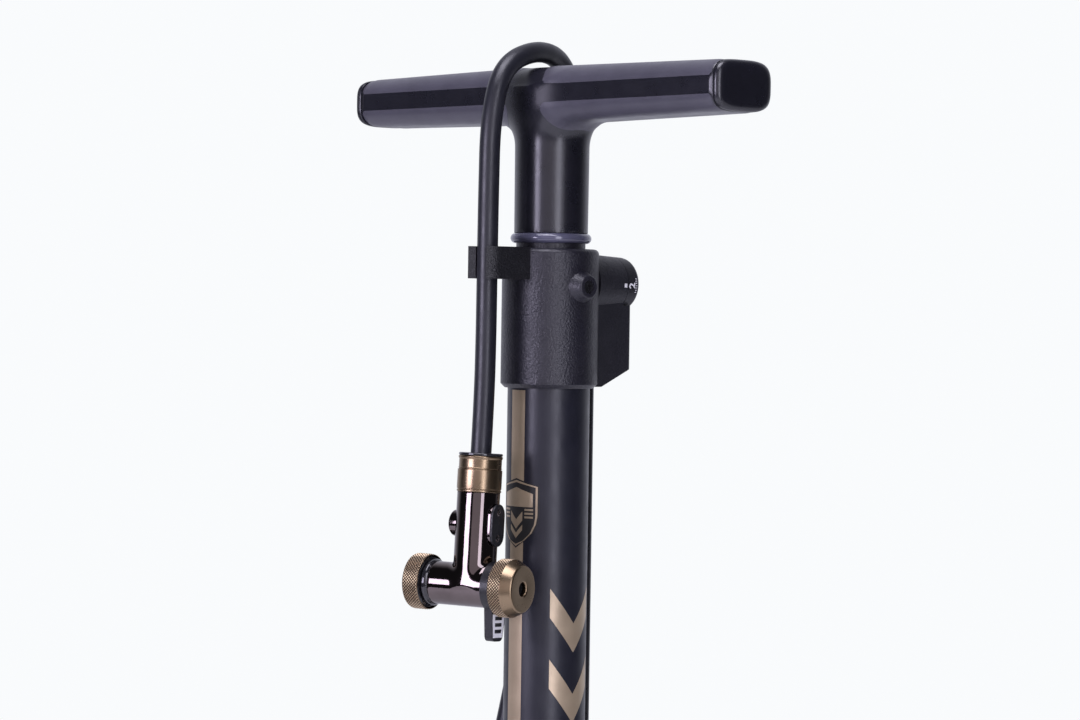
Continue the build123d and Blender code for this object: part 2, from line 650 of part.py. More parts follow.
parts["head_collar"] = head_collar()
parts["head_body"] = head_body()
parts["side_cover"] = side_cover()
parts["side_cover_screws"] = group(cover_screw(offset_down) for offset_down in (-COVER_SCREW_REACH, COVER_SCREW_REACH))
parts["cross_gland"] = CROSS * ring(11.2, 4 + FIT, -23.3, -20)
parts["chuck_seal"] = CROSS * ring(7.8, 3.4, 18.3, 24.9)
parts["thumb_lever"] = thumb_lever()
parts["chuck_knob"] = chuck_knob()
parts["release_button"] = release_button()
parts["button_spring"] = COVER * coil(2, 0.3, -6.9, -3.5, 3)
parts["tool_collar"] = CROSS * ring(12.6, 4 + FIT, -26.8, -23.7)
parts["tool_knob"] = tool_knob()
parts["tool_shaft"] = CROSS * disc(4, -32.6, -3)
parts["tool_knob_screw"] = CROSS * Pos(0, 0, -30) * Rot(90, 0, -70) * disc(1.3, 4.2, 12)

for name, shape in parts.items():
    export_step(shape, "parts/" + name + ".step")
print(len(parts), "nodes written")
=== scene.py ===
import json
import math
import bmesh
import bpy
from mathutils import Matrix, Vector, noise


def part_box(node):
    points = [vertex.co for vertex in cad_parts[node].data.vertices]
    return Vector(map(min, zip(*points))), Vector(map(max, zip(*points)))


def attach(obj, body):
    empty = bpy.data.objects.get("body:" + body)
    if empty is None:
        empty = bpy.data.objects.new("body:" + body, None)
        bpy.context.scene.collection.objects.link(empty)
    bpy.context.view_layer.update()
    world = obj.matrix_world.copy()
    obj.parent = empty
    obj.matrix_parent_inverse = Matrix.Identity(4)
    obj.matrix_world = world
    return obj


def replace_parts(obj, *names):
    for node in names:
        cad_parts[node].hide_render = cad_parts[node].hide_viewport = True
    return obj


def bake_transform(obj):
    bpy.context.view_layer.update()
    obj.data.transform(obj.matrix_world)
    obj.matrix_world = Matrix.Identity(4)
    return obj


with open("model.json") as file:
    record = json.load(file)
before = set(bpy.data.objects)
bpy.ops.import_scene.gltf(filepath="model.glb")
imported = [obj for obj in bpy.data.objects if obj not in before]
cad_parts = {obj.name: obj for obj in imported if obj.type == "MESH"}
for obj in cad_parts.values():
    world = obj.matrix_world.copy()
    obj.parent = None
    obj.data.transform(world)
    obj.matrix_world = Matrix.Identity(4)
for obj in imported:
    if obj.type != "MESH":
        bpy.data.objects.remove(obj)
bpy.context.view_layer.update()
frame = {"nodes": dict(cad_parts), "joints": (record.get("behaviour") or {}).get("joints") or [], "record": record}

MM = 0.001
NODES = frame["nodes"]
JOINTS = {joint["name"]: joint for joint in frame["joints"]}


def node_size(name):
    low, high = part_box(name)
    return high - low


# ---------------------------------------------------------------- places read from the frame
BARREL_R = node_size("barrel_tube").x / 2
CAP_LOW, CAP_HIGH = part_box("barrel_cap")
HANDLE_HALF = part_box("end_caps")[1].x
END_CAP_T = HANDLE_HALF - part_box("handle_core")[1].x
BAR_DEPTH = node_size("end_caps").y
END_HEIGHT = node_size("end_caps").z
HANDLE_Z = (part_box("end_caps")[0].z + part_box("end_caps")[1].z) / 2
HUB_HEIGHT = (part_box("handle_core")[1].z - HANDLE_Z) * 2
STEM_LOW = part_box("handle_core")[0].z
STEM_R = 18.2 * MM                 # at the stem's top; it tapers a little towards the cap
SELECTOR_AXIS = Vector(JOINTS["selector_turn"]["pos_m"])
NECK_TOP = Vector(JOINTS["head_swivel"]["pos_m"])
NECK_UP = Vector(JOINTS["head_swivel"]["axis"]).normalized()
CROSS_MIDDLE = Vector(JOINTS["chuck_turn"]["pos_m"])
CROSS_OUT = Vector(JOINTS["chuck_turn"]["axis"]).normalized()
GAUGE_MIDDLE = Vector(JOINTS["needle_sweep"]["pos_m"])
GAUGE_OUT = -Vector(JOINTS["needle_sweep"]["axis"]).normalized()


def frame_matrix(origin, out, side):
    """A frame whose +Z runs along out and whose +X runs along side."""
    z = out.normalized()
    x = (side - z * side.dot(z)).normalized()
    turn = Matrix((x, z.cross(x), z)).transposed().to_4x4()
    return Matrix.Translation(origin) @ turn


COVER_DROP = 34.0 * MM             # from the collar's top down to the side cover's middle
NECK = frame_matrix(NECK_TOP, NECK_UP, CROSS_OUT)
CROSS = frame_matrix(CROSS_MIDDLE, CROSS_OUT, -NECK_UP)
COVER = frame_matrix(NECK_TOP - NECK_UP * COVER_DROP, CROSS_OUT, -NECK_UP)
GAUGE = frame_matrix(GAUGE_MIDDLE, GAUGE_OUT, Vector((1, 0, 0)))


# ---------------------------------------------------------------- materials
def node_of(tree, kind, **values):
    made = tree.nodes.new(kind)
    for name, value in values.items():
        made.inputs[name].default_value = value
    return made


def cloud_mask(tree, place, scale, low, high):
    """Soft cloudy values between low and high."""
    cloud = node_of(tree, "ShaderNodeTexNoise", Scale=scale, Detail=5.0, Roughness=0.6)
    spread = node_of(tree, "ShaderNodeMapRange")
    spread.inputs["From Min"].default_value = 0.3
    spread.inputs["From Max"].default_value = 0.7
    spread.inputs["To Min"].default_value = low
    spread.inputs["To Max"].default_value = high
    tree.links.new(place.outputs["Object"], cloud.inputs["Vector"])
    tree.links.new(cloud.outputs["Fac"], spread.inputs["Value"])
    return spread.outputs["Result"]


COLOUR_CLOUDS = 55.0
GLOSS_CLOUDS = 130.0
MIX_FACTOR, MIX_FIRST, MIX_SECOND, MIX_COLOUR = 0, 6, 7, 2     # the colour Mix node's sockets


def surface(name, colour, roughness, metallic=0.0, mottle=0.12, grain=0.0, grain_scale=1500.0,
            coat=0.0, specular=0.5, smudge=0.06, relief=0.0004):
    """A procedural finish: cloudy colour, smudged gloss and a fine moulded or turned grain."""
    made = bpy.data.materials.new(name)
    made.use_nodes = True
    tree = made.node_tree
    shader = tree.nodes["Principled BSDF"]
    place = tree.nodes.new("ShaderNodeTexCoord")
    mix = tree.nodes.new("ShaderNodeMix")
    mix.data_type = "RGBA"
    tree.links.new(cloud_mask(tree, place, COLOUR_CLOUDS, 0.0, 1.0), mix.inputs[MIX_FACTOR])
    mix.inputs[MIX_FIRST].default_value = (*[channel * (1 - mottle) for channel in colour], 1)
    mix.inputs[MIX_SECOND].default_value = (*[min(1.0, channel * (1 + mottle)) for channel in colour], 1)
    tree.links.new(mix.outputs[MIX_COLOUR], shader.inputs["Base Color"])
    gloss = cloud_mask(tree, place, GLOSS_CLOUDS, max(0.02, roughness - smudge), roughness + smudge)
    tree.links.new(gloss, shader.inputs["Roughness"])
    shader.inputs["Metallic"].default_value = metallic
    shader.inputs["Specular IOR Level"].default_value = specular
    shader.inputs["Coat Weight"].default_value = coat
    if grain:
        texture = node_of(tree, "ShaderNodeTexNoise", Scale=grain_scale, Detail=3.0)
        tree.links.new(place.outputs["Object"], texture.inputs["Vector"])
        bump = node_of(tree, "ShaderNodeBump", Strength=grain, Distance=relief)
        tree.links.new(texture.outputs["Fac"], bump.inputs["Height"])
        tree.links.new(bump.outputs["Normal"], shader.inputs["Normal"])
    return made


def clear_lens():
    made = surface("clear_lens", (0.95, 0.97, 1.0), 0.06)
    shader = made.node_tree.nodes["Principled BSDF"]
    shader.inputs["Transmission Weight"].default_value = 1.0
    shader.inputs["Alpha"].default_value = 0.25
    return made


# colour, roughness and the settings that differ from a plain satin finish
LOOKS = {
    "cast_black": ((0.022, 0.022, 0.026), 0.42, {"grain": 0.35, "grain_scale": 900.0}),
    "barrel_black": ((0.012, 0.0125, 0.02), 0.36, {"grain": 0.08, "grain_scale": 2600.0}),
    "tube_black": ((0.012, 0.012, 0.014), 0.3, {"grain": 0.05}),
    "cap_plastic": ((0.012, 0.0115, 0.018), 0.36, {"grain": 0.8, "grain_scale": 1000.0, "specular": 0.55}),
    "pod_plastic": ((0.014, 0.014, 0.019), 0.42, {"grain": 0.6, "grain_scale": 1100.0}),
    "black_plastic": ((0.008, 0.008, 0.01), 0.36, {"grain": 0.3, "grain_scale": 1800.0}),
    "clip_plastic": ((0.007, 0.007, 0.009), 0.4, {"grain": 1.0, "grain_scale": 1000.0, "relief": 0.0005}),
    "knob_plastic": ((0.012, 0.012, 0.016), 0.42, {"grain": 0.25, "grain_scale": 1600.0}),
    "handle_plastic": ((0.008, 0.008, 0.013), 0.29,
                     {"grain": 0.05, "grain_scale": 1500.0, "specular": 0.7, "smudge": 0.03}),
    "grip_rubber": ((0.066, 0.064, 0.082), 0.36, {"grain": 0.2, "grain_scale": 1700.0}),
    "rubber_black": ((0.01, 0.01, 0.01), 0.6, {"grain": 0.4, "grain_scale": 1200.0}),
    "hose_rubber": ((0.012, 0.0125, 0.018), 0.38, {"grain": 0.15, "grain_scale": 1300.0}),
    "ring_rubber": ((0.08, 0.08, 0.12), 0.16, {"coat": 0.5, "smudge": 0.02}),
    "bronze": ((0.275, 0.203, 0.128), 0.28, {"metallic": 1.0, "mottle": 0.04, "smudge": 0.02}),
    # painted highlight: the knob's own bronze, painted brighter on the knurl to stand in for light caught by its
    # facets
    "bronze_knurl_painted_highlight": ((0.46, 0.355, 0.235), 0.34, {"metallic": 0.85, "mottle": 0.04, "smudge": 0.02}),
    # painted shade: the knurl's grooves painted near black to stand in for the shade down in them
    "knurl_groove_painted_shade": ((0.035, 0.022, 0.014), 0.5, {"metallic": 0.6}),
    "bronze_paint": ((0.46, 0.365, 0.25), 0.36, {"metallic": 0.45, "grain": 0.12, "mottle": 0.08}),
    "dark_chrome": ((0.15, 0.125, 0.12), 0.08, {"metallic": 1.0, "smudge": 0.03}),
    "black_chrome": ((0.012, 0.012, 0.014), 0.14, {"metallic": 0.0, "coat": 0.4}),
    "steel": ((0.5, 0.5, 0.52), 0.26, {"metallic": 1.0, "grain": 0.1}),
    "rod_steel": ((0.62, 0.62, 0.64), 0.12, {"metallic": 1.0}),
    "brass": ((0.62, 0.45, 0.2), 0.28, {"metallic": 1.0, "grain": 0.1}),
    "dial_white": ((0.83, 0.83, 0.81), 0.45, {"mottle": 0.02}),
    "needle_red": ((0.6, 0.04, 0.025), 0.35, {}),
    "print_white": ((0.8, 0.8, 0.82), 0.45, {"mottle": 0.03}),
    "print_black": ((0.015, 0.015, 0.015), 0.5, {}),
    "spring_steel": ((0.45, 0.45, 0.47), 0.24, {"metallic": 1.0}),
}
FINISH = {name: surface(name, colour, roughness, **details)
          for name, (colour, roughness, details) in LOOKS.items()}
FINISH["lens"] = clear_lens()

for entry in frame["record"]["subparts"]:
    shape = NODES[entry["node"]]
    shape.data.materials.clear()
    shape.data.materials.append(FINISH[entry["material_slot"]])
NODES["hose_clip"].data.materials[0] = FINISH["clip_plastic"]
NODES["selector_housing"].data.materials[0] = FINISH["pod_plastic"]
NODES["cap_screws"].data.materials[0] = FINISH["black_chrome"]


# ---------------------------------------------------------------- mesh helpers
def finished(name, mesh, finish, body, replaces=(), sharp=40.0):
    """Turn a mesh into a named piece of a body, smooth except at its real edges."""
    mesh.materials.append(FINISH[finish])
    mesh.shade_smooth()
    mesh.set_sharp_from_angle(angle=math.radians(sharp))
    piece = bpy.data.objects.new(name, mesh)
    bpy.context.scene.collection.objects.link(piece)
    if body:
        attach(piece, body)
    if replaces:
        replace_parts(piece, *replaces)
    return piece


def mesh_from(name, points, faces):
    mesh = bpy.data.meshes.new(name)
    mesh.from_pydata([tuple(point) for point in points], [], faces)
    work = bmesh.new()
    work.from_mesh(mesh)
    bmesh.ops.remove_doubles(work, verts=work.verts, dist=1e-7)
    bmesh.ops.recalc_face_normals(work, faces=work.faces)
    work.to_mesh(mesh)
    work.free()
    return mesh


def rounded(profile, radius, steps=4):
    """A profile of (radius, height) points with its inner corners rounded off."""
    smooth = [profile[0]]
    for before, here, after in zip(profile, profile[1:], profile[2:]):
        a, b, c = Vector(before), Vector(here), Vector(after)
        reach = min(radius, (a - b).length * 0.45, (c - b).length * 0.45)
        start = b + (a - b).normalized() * reach
        end = b + (c - b).normalized() * reach
        for step in range(steps + 1):
            t = step / steps
            smooth.append(tuple(start * (1 - t) ** 2 + b * 2 * t * (1 - t) + end * t ** 2))
    smooth.append(profile[-1])
    return smooth


def lathe_mesh(name, profile, place, around=96):
    """Turn a profile of (radius, height) points about the frame's Z axis."""
    points, faces = [], []
    for radius, height in profile:
        for step in range(around):
            angle = 2 * math.pi * step / around
            points.append(place @ Vector((radius * math.cos(angle), radius * math.sin(angle), height)))
    for row in range(len(profile) - 1):
        for step in range(around):
            ahead = (step + 1) % around
            faces.append((row * around + step, row * around + ahead,
                          (row + 1) * around + ahead, (row + 1) * around + step))
    return mesh_from(name, points, faces)


def turned(name, profile, place, finish, body, corner=0.3, replaces=(), around=96):
    """A turned piece from a profile in millimetres."""
    outline = rounded([(r * MM, h * MM) for r, h in profile], corner * MM)
    mesh = lathe_mesh(name, outline, place, around)
    return finished(name, mesh, finish, body, replaces)


KNURL_STEPS = 6                    # mesh steps from one groove to the next
GROOVE_SHADE_STEPS = 2                   # of those, the steps in the groove, painted dark as shade
KNURL_DEPTH = 0.5
KNURL_EDGE = 0.5                   # the pattern dies out over this height at both rims


def knurled(name, radius, low, high, place, teeth, body):
    """A band of diamond knurling, in millimetres, its edges running along both sets of grooves; the grooves are
    painted dark as shade, the rest a brighter bronze as painted highlight.
    """
    around = teeth * KNURL_STEPS
    rows = 2 * round((high - low) / (2 * math.pi * radius / around) / 2)
    points = []
    for row in range(rows + 1):
        height = low + (high - low) * row / rows
        edge = max(0.0, min(1.0, (height - low) / KNURL_EDGE, (high - height) / KNURL_EDGE))
        for step in range(around):
            angle = 2 * math.pi * step / around
            from_groove = min(min((lean - 1) % KNURL_STEPS, (1 - lean) % KNURL_STEPS)
                              for lean in (step + row, step - row))
            rise = from_groove / (KNURL_STEPS / 2)
            reach = radius - KNURL_DEPTH * (1 - min(rise, edge))
            points.append(place @ (Vector((reach * math.cos(angle), reach * math.sin(angle), height)) * MM))
    faces, grooves = [], []
    for row in range(rows):
        for step in range(around):
            a, b = (step, row), (step + 1, row)
            c, d = (step, row + 1), (step + 1, row + 1)
            split = ((a, b, d), (a, d, c)) if (step + row) % 2 == 0 else ((a, b, c), (b, d, c))
            for triangle in split:
                faces.append([spot[1] * around + spot[0] % around for spot in triangle])
                across = sum(spot[0] for spot in triangle) / 3
                along = sum(spot[1] for spot in triangle) / 3
                grooves.append((across + along) % KNURL_STEPS < GROOVE_SHADE_STEPS
                               or (across - along) % KNURL_STEPS < GROOVE_SHADE_STEPS)
    mesh = bpy.data.meshes.new(name)
    mesh.from_pydata([tuple(point) for point in points], [], faces)
    # the knurl's faces take the brighter bronze, a painted highlight
    piece = finished(name, mesh, "bronze_knurl_painted_highlight", body, sharp=12.0)
    # painted shade: the faces down in the grooves take the dark finish
    mesh.materials.append(FINISH["knurl_groove_painted_shade"])
    for face, groove in zip(mesh.polygons, grooves):
        face.material_index = 1 if groove else 0
    return piece


HARD_ANGLE = 40.0


def plate(name, outline, low, high, place, finish, body, bevel=0.3, replaces=()):
    """A flat outline in millimetres, extruded between two heights with softened edges."""
    count = len(outline)
    points = [place @ (Vector((x, y, low)) * MM) for x, y in outline]
    points += [place @ (Vector((x, y, high)) * MM) for x, y in outline]
    faces = [tuple(range(count))[::-1], tuple(range(count, 2 * count))]
    for step in range(count):
        ahead = (step + 1) % count
        faces.append((step, ahead, count + ahead, count + step))
    mesh = mesh_from(name, points, faces)
    work = bmesh.new()
    work.from_mesh(mesh)
    hard = [edge for edge in work.edges if edge.calc_face_angle(0.0) > math.radians(HARD_ANGLE)]
    bmesh.ops.bevel(work, geom=hard, offset=bevel * MM, segments=3, affect="EDGES", profile=0.5)
    work.to_mesh(mesh)
    work.free()
    return finished(name, mesh, finish, body, replaces)


def capsule_outline(half_long, half_short, steps=16):
    """A slot shape whose long side lies along X."""
    outline = []
    for end in (1, -1):
        for step in range(steps + 1):
            angle = math.pi * (step / steps - 0.5) + (0 if end > 0 else math.pi)
            outline.append((end * (half_long - half_short) + half_short * math.cos(angle),
                            half_short * math.sin(angle)))
    return outline


# ---------------------------------------------------------------- handle
BAR_CORNER = 9.5 * MM
STEM_TAPER = 0.3 * MM
FILLET = 13 * MM                   # between the bar and its stem
PAD_BAND = 4.0 * MM                # half the bare band between the upper and lower pads
PAD_PROUD = 0.45 * MM
PAD_ROOT = 0.8 * MM                # how far a pad's underside sinks into the moulding
PAD_GAP = 0.4 * MM                 # between a pad and the end cap


def bar_distance(point):
    """Signed distance to the tapered bar of the handle, in metres."""
    height = HUB_HEIGHT + (END_HEIGHT - HUB_HEIGHT) * min(1.0, abs(point.x) / HANDLE_HALF)
    side = abs(point.y) - (BAR_DEPTH / 2 - BAR_CORNER)
    rise = abs(point.z - HANDLE_Z) - (height / 2 - BAR_CORNER)
    outside = math.hypot(max(side, 0.0), max(rise, 0.0))
    section = outside + min(max(side, rise), 0.0) - BAR_CORNER
    return max(section, abs(point.x) - (HANDLE_HALF - END_CAP_T))


def stem_distance(point):
    """Signed distance to the round stem, in metres."""
    taper = STEM_TAPER * (HANDLE_Z - point.z) / (HANDLE_Z - STEM_LOW)
    around = math.hypot(point.x, point.y) - (STEM_R - taper)
    return max(around, STEM_LOW - point.z, point.z - HANDLE_Z)


def handle_distance(point):
    """The bar and its stem, joined by a soft fillet."""
    return soft_union(bar_distance(point), stem_distance(point), FILLET)


def slope_of(distance, point):
    """The gradient of a distance function, by small steps."""
    step = 0.05 * MM
    slopes = []
    for axis in range(3):
        shift = Vector((0, 0, 0))
        shift[axis] = step
        slopes.append(distance(point + shift) - distance(point - shift))
    return Vector(slopes) / (2 * step)


def settle(distance, point, rounds=4):
    """Move a point onto the surface where a distance function is nought."""
    for _ in range(rounds):
        slope = slope_of(distance, point)
        point = point - slope * distance(point) / max(slope.length_squared, 0.2)
    return point


def soft_union(a, b, reach):
    """The nearer of two distances, rounded off where they are within reach of each other."""
    blend = max(reach - abs(a - b), 0.0) / reach
    return min(a, b) - blend * blend * reach / 4


def settled_skin(name, rough, distance, voxel):
    """Remesh a rough solid to one even skin and settle it on a distance function's surface."""
    mesh = bpy.data.meshes.new(name)
    bmesh.ops.recalc_face_normals(rough, faces=rough.faces)
    rough.to_mesh(mesh)
    rough.free()
    source = bpy.data.objects.new(name, mesh)
    bpy.context.scene.collection.objects.link(source)
    remesh = source.modifiers.new("remesh", "REMESH")
    remesh.mode = "VOXEL"
    remesh.voxel_size = voxel
    bpy.context.view_layer.update()
    seen = source.evaluated_get(bpy.context.evaluated_depsgraph_get())
    skin = bpy.data.meshes.new_from_object(seen)
    bpy.data.objects.remove(source)
    for vertex in skin.vertices:
        vertex.co = settle(distance, vertex.co.copy())
    skin.name = name
    return skin


def bar_section(x, turn):
    """A point of the bar's section at an angle about its own axis, from straight front over the top."""
    out = Vector((0, -math.cos(turn), math.sin(turn)))
    near, far = 0.0, 40 * MM
    middle = Vector((x, 0, HANDLE_Z))
    for _ in range(24):
        half = (near + far) / 2
        if handle_distance(middle + out * half) < 0:
            near = half
        else:
            far = half
    return middle + out * near


def handle_core():
    """The dark inner moulding: bar, hub and stem in one skin."""
    bar_end = HANDLE_HALF - END_CAP_T
    rough = bmesh.new()
    around, along = 48, 60
    rings = []
    for step in range(along + 1):
        x = -bar_end + 2 * bar_end * step / along
        height = HUB_HEIGHT + (END_HEIGHT - HUB_HEIGHT) * abs(x) / HANDLE_HALF
        ring = []
        for turn in range(around):
            angle = 2 * math.pi * turn / around
            squash = (abs(math.cos(angle)) ** 4 + abs(math.sin(angle)) ** 4) ** 0.25
            spot = (x, BAR_DEPTH / 2 * math.cos(angle) / squash,
                    HANDLE_Z + height / 2 * math.sin(angle) / squash)
            ring.append(rough.verts.new(spot))
        rings.append(ring)
    for a, b in zip(rings, rings[1:]):
        for turn in range(around):
            ahead = (turn + 1) % around
            rough.faces.new((a[turn], a[ahead], b[ahead], b[turn]))
    rough.faces.new(rings[0][::-1])
    rough.faces.new(rings[-1])
    middle = Matrix.Translation((0, 0, (STEM_LOW + HANDLE_Z) / 2))
    bmesh.ops.create_cone(rough, cap_ends=True, segments=64, radius1=STEM_R, radius2=STEM_R,
                          depth=HANDLE_Z - STEM_LOW, matrix=middle)
    skin = settled_skin("handle_moulding", rough, handle_distance, 1.3 * MM)
    return finished("handle_moulding", skin, "handle_plastic", "handle",
                    ("handle_core",), sharp=50.0)


def grip_pad(name, side, level):
    """One soft pad: left or right of the hub, above or below the bare band."""
    start_turn = math.asin(PAD_BAND / (BAR_DEPTH / 2)) * 1.04
    across, along = 44, 64
    end_x = HANDLE_HALF - END_CAP_T - PAD_GAP
    grid = []
    for row in range(across + 1):
        share = row / across
        turn = start_turn + (math.pi - 2 * start_turn) * share
        lean = max(0.0, (math.sin(turn) - 0.4) / 0.6)
        corner = 1 - min(1.0, min(share, 1 - share) / 0.05)
        start_x = 11.8 + 8.7 * lean ** 1.4 if level < 0 else 12.2 - 6 * lean
        start_x = (start_x + 2 * corner ** 2) * MM
        stop_x = end_x - 1.5 * MM * corner ** 2
        line = []
        for step in range(along + 1):
            x = start_x + (stop_x - start_x) * step / along
            line.append(bar_section(side * x, level * turn))
        grid.append(line)
    points, faces = [], []
    width = along + 1
    for row in range(across + 1):
        for step in range(along + 1):
            edge = min(row, across - row, step, along - step)
            lift = PAD_PROUD * (0.15 + 0.85 * min(1.0, edge / 2))
            slope = slope_of(handle_distance, grid[row][step])
            points.append(grid[row][step] + slope.normalized() * lift)
    for row in range(across + 1):
        for step in range(along + 1):
            slope = slope_of(handle_distance, grid[row][step])
            points.append(grid[row][step] - slope.normalized() * PAD_ROOT)
    under = (across + 1) * width
    for row in range(across):
        for step in range(along):
            a = row * width + step
            faces.append((a, a + 1, a + width + 1, a + width))
            faces.append((under + a, under + a + width, under + a + width + 1, under + a + 1))
    rim = [(0, step) for step in range(along)] + [(row, along) for row in range(across)]
    rim += [(across, along - step) for step in range(along)]
    rim += [(across - row, 0) for row in range(across)]
    for here, ahead in zip(rim, rim[1:] + rim[:1]):
        a, b = here[0] * width + here[1], ahead[0] * width + ahead[1]
        faces.append((a, b, under + b, under + a))
    return finished(name, mesh_from(name, points, faces), "grip_rubber", "handle")


def end_plug(name, side):
    """The end cap: a soft squircle with a raised rim line where it meets the bar."""
    around = 72
    bar_end = HANDLE_HALF - END_CAP_T
    steps = [(0.0, -0.2), (0.1, 0.35), (0.5, 0.5), (0.9, 0.35), (1.1, -0.1), (1.4, -0.1), (1.6, 0.3),
             (2.2, 0.4), (3.2, 0.15), (4.1, -0.7), (4.7, -1.9), (4.95, -3.4), (5.0, -6.0), (5.0, -9.0)]
    points, faces = [], []
    for out, grow in steps:
        half_y = BAR_DEPTH / 2 + grow * MM
        half_z = END_HEIGHT / 2 + grow * MM
        for turn in range(around):
            angle = 2 * math.pi * turn / around
            squash = (abs(math.cos(angle)) ** 3.6 + abs(math.sin(angle)) ** 3.6) ** (1 / 3.6)
            points.append((side * (bar_end + out * MM), half_y * math.cos(angle) / squash,
                           HANDLE_Z + half_z * math.sin(angle) / squash))
    for row in range(len(steps) - 1):
        for turn in range(around):
            ahead = (turn + 1) % around
            faces.append((row * around + turn, row * around + ahead,
                          (row + 1) * around + ahead, (row + 1) * around + turn))
    last = (len(steps) - 1) * around
    faces.append(tuple(range(last, last + around)))
    faces.append(tuple(range(around))[::-1])
    return finished(name, mesh_from(name, points, faces), "handle_plastic", "handle")


handle_core()
for level_name, level in (("upper", 1), ("lower", -1)):
    for side_name, side in (("left", -1), ("right", 1)):
        pad = grip_pad("grip_" + level_name + "_" + side_name, side, level)
        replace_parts(pad, "grip_pads_" + level_name)
for side_name, side in (("left", -1), ("right", 1)):
    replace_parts(end_plug("end_plug_" + side_name, side), "end_caps")


# ---------------------------------------------------------------- hose
HOSE_DIAMETER = 0.010
HOSE_ROUTE = [
    (-0.052, 0.012, 0.056), (-0.052, 0.012, 0.092), (-0.057, 0.009, 0.145), (-0.0625, 0.002, 0.215),
    (-0.0585, -0.0025, 0.292), (-0.046, 0.002, 0.368), (-0.034, 0.0092, 0.436),
    (-0.026, 0.019, 0.505), (-0.0215, 0.028, 0.575), (-0.020, 0.0323, 0.640),
    (-0.0196, 0.0334, 0.690), (-0.0186, 0.0326, 0.728), (-0.0138, 0.019, 0.751),
    (-0.0054, -0.006, 0.7546), (-0.0012, -0.0318, 0.745), (0, -0.0402, 0.720),
    (0.0002, -0.041, 0.684), (0, -0.041, 0.645), (0.0002, -0.0413, 0.612),
    (0, -0.041745, 0.5851), (0, -0.0432, 0.5597),
]


def spline_points(route, resolution=14):
    """Points along the smooth NURBS line that the route controls."""
    curve = bpy.data.curves.new("hose_line", "CURVE")
    curve.dimensions = "3D"
    spline = curve.splines.new("NURBS")
    spline.points.add(len(route) - 1)
    for point, spot in zip(spline.points, route):
        point.co = (*spot, 1)
    spline.order_u = 3
    spline.use_endpoint_u = True
    spline.resolution_u = resolution
    holder = bpy.data.objects.new("hose_line", curve)
    line = bpy.data.meshes.new_from_object(holder)
    path = [vertex.co.copy() for vertex in line.vertices]
    bpy.data.objects.remove(holder)
    bpy.data.meshes.remove(line)
    return path


def tube_mesh(name, path, radius, around=28):
    """A round tube along a path, its rings carried along without twist."""
    points, faces = [], []
    side = Vector((1, 0, 0))
    for index, spot in enumerate(path):
        ahead = path[min(index + 1, len(path) - 1)]
        behind = path[max(index - 1, 0)]
        along = (ahead - behind).normalized()
        side = (side - along * side.dot(along)).normalized()
        other = along.cross(side)
        for step in range(around):
            angle = 2 * math.pi * step / around
            points.append(spot + side * radius * math.cos(angle) + other * radius * math.sin(angle))
    for row in range(len(path) - 1):
        for step in range(around):
            ahead = (step + 1) % around
            faces.append((row * around + step, row * around + ahead,
                          (row + 1) * around + ahead, (row + 1) * around + step))
    last = (len(path) - 1) * around
    faces.append(tuple(range(around))[::-1])
    faces.append(tuple(range(last, last + around)))
    return mesh_from(name, points, faces)


hose_line = spline_points(HOSE_ROUTE)
hose = finished("hose", tube_mesh("hose", hose_line, HOSE_DIAMETER / 2), "hose_rubber", None,
                ("hose_front_run", "hose_rear_run", "hose_over_handle"))
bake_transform(hose)


# ---------------------------------------------------------------- pump head
NECK_R = 10.25 * MM
COLLAR_H = 18.6 * MM
CROSS_DROP = (CROSS_MIDDLE - NECK_TOP).length
CROSS_ENDS = (-20.3 * MM, 10.45 * MM)
HEAD_FILLET = 2.6 * MM
COVER_OUT = 10.6                   # millimetres from the neck's axis to the cover's back
COVER_THICK = 1.4
COVER_SCREW_REACH = 6.2
TOOL_KNURL_R, TOOL_TEETH = 13.45, 56
CHUCK_KNURL_R, CHUCK_TEETH = 13.95, 58
TO_NECK = NECK.inverted()
TO_CROSS = CROSS.inverted()


def head_distance(point):
    """The neck and the cross tube, joined by a small fillet."""
    spot = TO_NECK @ point
    neck = max(math.hypot(spot.x, spot.y) - NECK_R, spot.z + COLLAR_H - 0.4 * MM, -spot.z - CROSS_DROP)
    spot = TO_CROSS @ point
    cross = max(math.hypot(spot.x, spot.y) - NECK_R, spot.z - CROSS_ENDS[1], CROSS_ENDS[0] - spot.z)
    return soft_union(neck, cross, HEAD_FILLET)


def head_casting():
    rough = bmesh.new()
    length = CROSS_DROP - COLLAR_H
    spot = NECK @ Matrix.Translation((0, 0, -COLLAR_H - length / 2))
    bmesh.ops.create_cone(rough, cap_ends=True, segments=72, radius1=NECK_R, radius2=NECK_R,
                          depth=length, matrix=spot)
    spot = CROSS @ Matrix.Translation((0, 0, sum(CROSS_ENDS) / 2))
    bmesh.ops.create_cone(rough, cap_ends=True, segments=72, radius1=NECK_R, radius2=NECK_R,
                          depth=CROSS_ENDS[1] - CROSS_ENDS[0], matrix=spot)
    skin = settled_skin("head_casting", rough, head_distance, 0.7 * MM)
    return finished("head_casting", skin, "dark_chrome", "head", ("head_body",), sharp=50.0)


